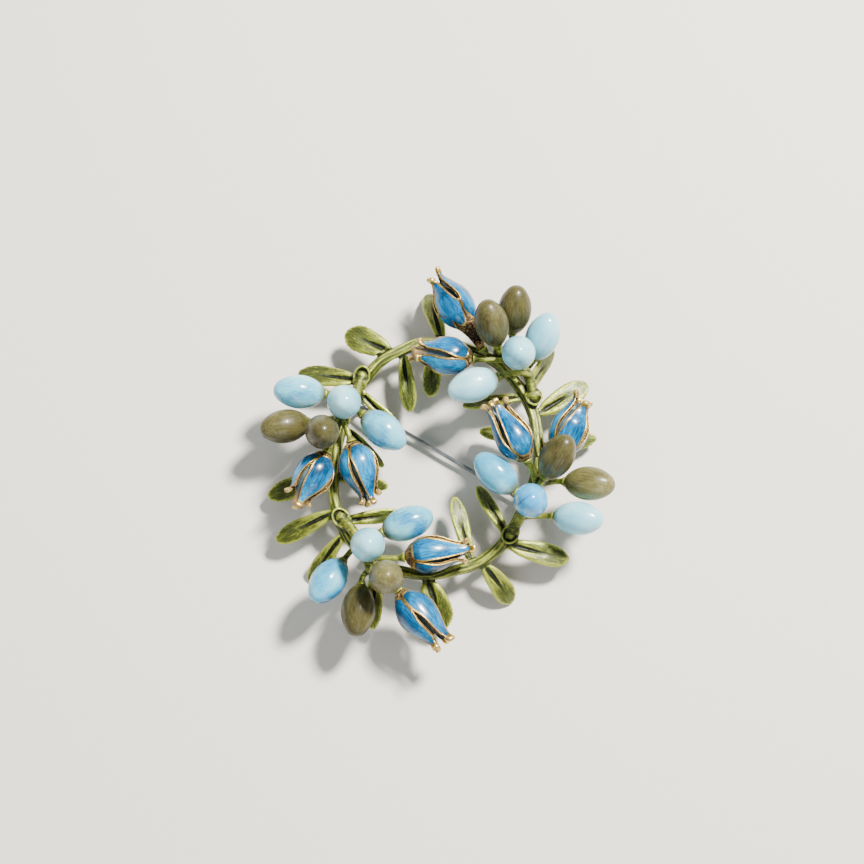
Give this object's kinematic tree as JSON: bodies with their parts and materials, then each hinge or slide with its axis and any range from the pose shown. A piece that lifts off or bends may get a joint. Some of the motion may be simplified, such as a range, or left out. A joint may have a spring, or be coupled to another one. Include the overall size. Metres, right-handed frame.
{
  "type": "wreath brooch",
  "caption": "Oval wreath brooch of ring stem, spatulate leaves, smooth berries and slit enamelled buds, with a hinged pin and a catch across its back.",
  "frame": {"origin": "middle of the brooch seen from above, on the surface that it lies on", "axes": "+Z out of the brooch's face, +Y towards the top of the wreath, +X to its right side"},
  "size_m": [0.0552, 0.0602, 0.0173],
  "materials": {
    "green_metal": "green patina, rubbed brighter on the high places",
    "bronze": "antique gold edges with blue enamel panels",
    "blue_bead": "light blue with deeper streaks, polished",
    "olive_bead": "olive with darker streaks, polished",
    "steel": "plain wire"
  },
  "bodies": {
    "brooch": {"a1_blue_berry": "blue_bead", "a2_blue_berry": "blue_bead", "a3_blue_berry": "blue_bead", "a4_olive_berry": "olive_bead", "a5_olive_berry": "olive_bead", "a6_bud": "bronze", "a7_bud": "bronze", "b1_blue_berry": "blue_bead", "b2_blue_berry": "blue_bead", "b3_blue_berry": "blue_bead", "b4_olive_berry": "olive_bead", "b5_olive_berry": "olive_bead", "b6_bud": "bronze", "b7_bud": "bronze", "c1_blue_berry": "blue_bead", "c2_blue_berry": "blue_bead", "c3_blue_berry": "blue_bead", "c4_olive_berry": "olive_bead", "c5_olive_berry": "olive_bead", "c6_bud": "bronze", "c7_bud": "bronze", "d1_blue_berry": "blue_bead", "d2_blue_berry": "blue_bead", "d3_blue_berry": "blue_bead", "d4_olive_berry": "olive_bead", "d5_olive_berry": "olive_bead", "d6_bud": "bronze", "d7_bud": "bronze", "pin_catch": "steel", "pin_hinge": "steel", "wreath_frame": "green_metal"},
    "pin": {"pin_stem": "steel"}
  },
  "joints": [
    {"name": "pin_swing", "type": "hinge", "parent": "brooch", "child": "pin", "pos_m": [-0.01304, 0.01041, 0.0015], "axis": [0.5121, 0.859, 0], "range_deg": [0, 80]}
  ]
}
